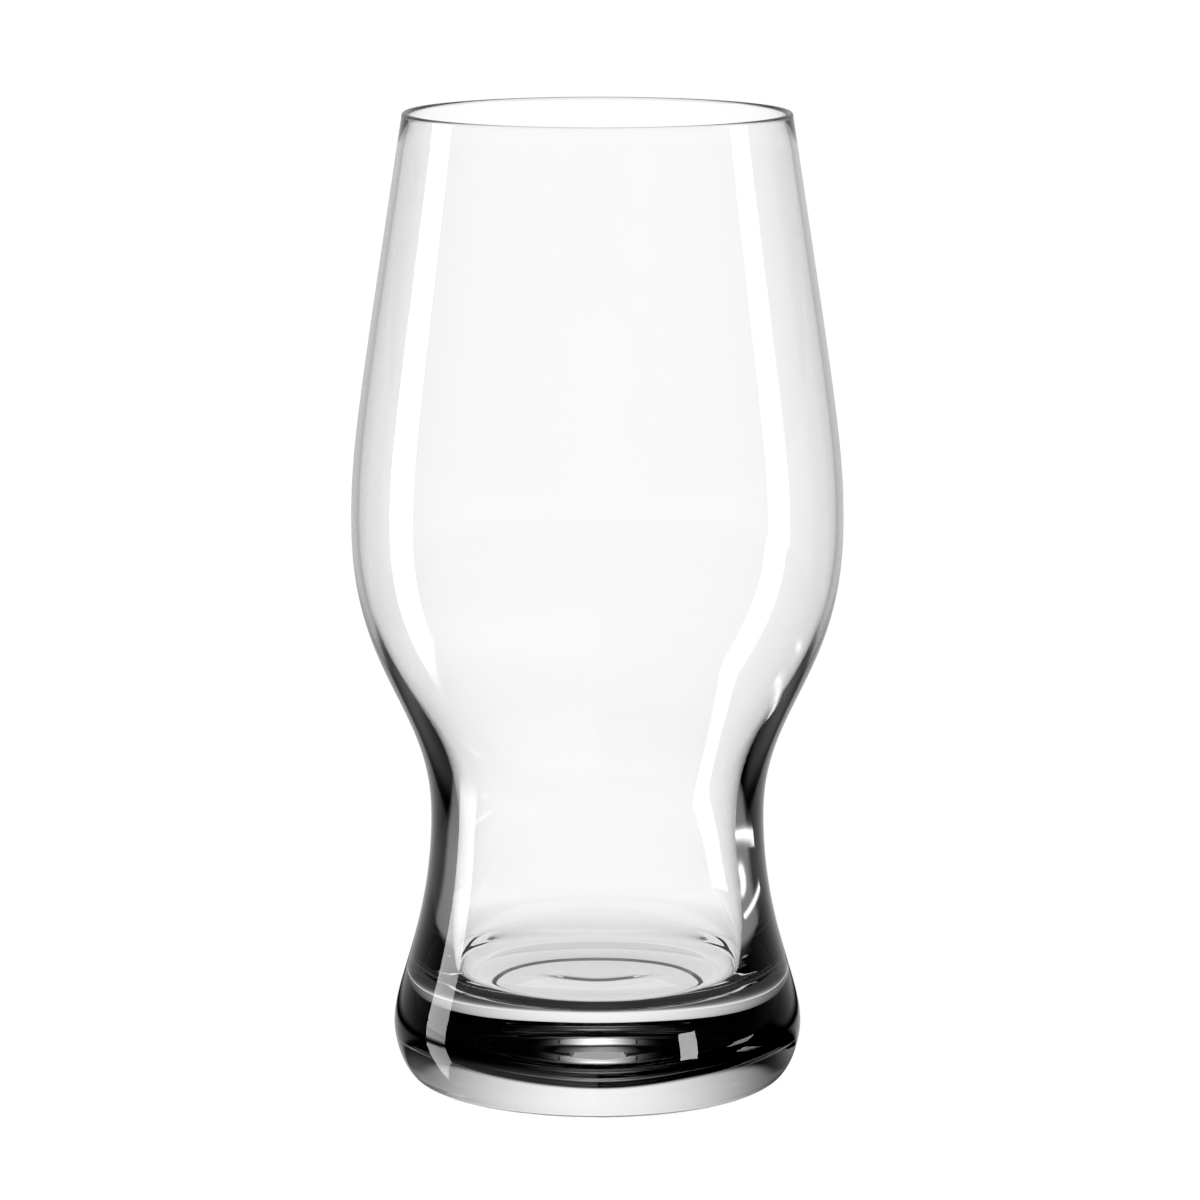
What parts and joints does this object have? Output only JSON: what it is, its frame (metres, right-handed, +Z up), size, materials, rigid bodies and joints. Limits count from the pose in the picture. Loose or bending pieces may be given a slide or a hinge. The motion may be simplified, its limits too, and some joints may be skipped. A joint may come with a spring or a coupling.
{
  "type": "weizen glass",
  "caption": "Clear wheat beer glass with a bulbous bowl that narrows to the lip, a pinched waist to hold it by and a thick solid base.",
  "frame": {"origin": "centre of the standing ring, on the table", "axes": "+Z up along the axis of revolution, from the base to the lip"},
  "size_m": [0.088, 0.088, 0.175],
  "materials": {
    "glass": "polished clear glass"
  },
  "bodies": {
    "root": {"base": "glass", "waist": "glass", "bowl": "glass", "rim": "glass"}
  },
  "joints": []
}
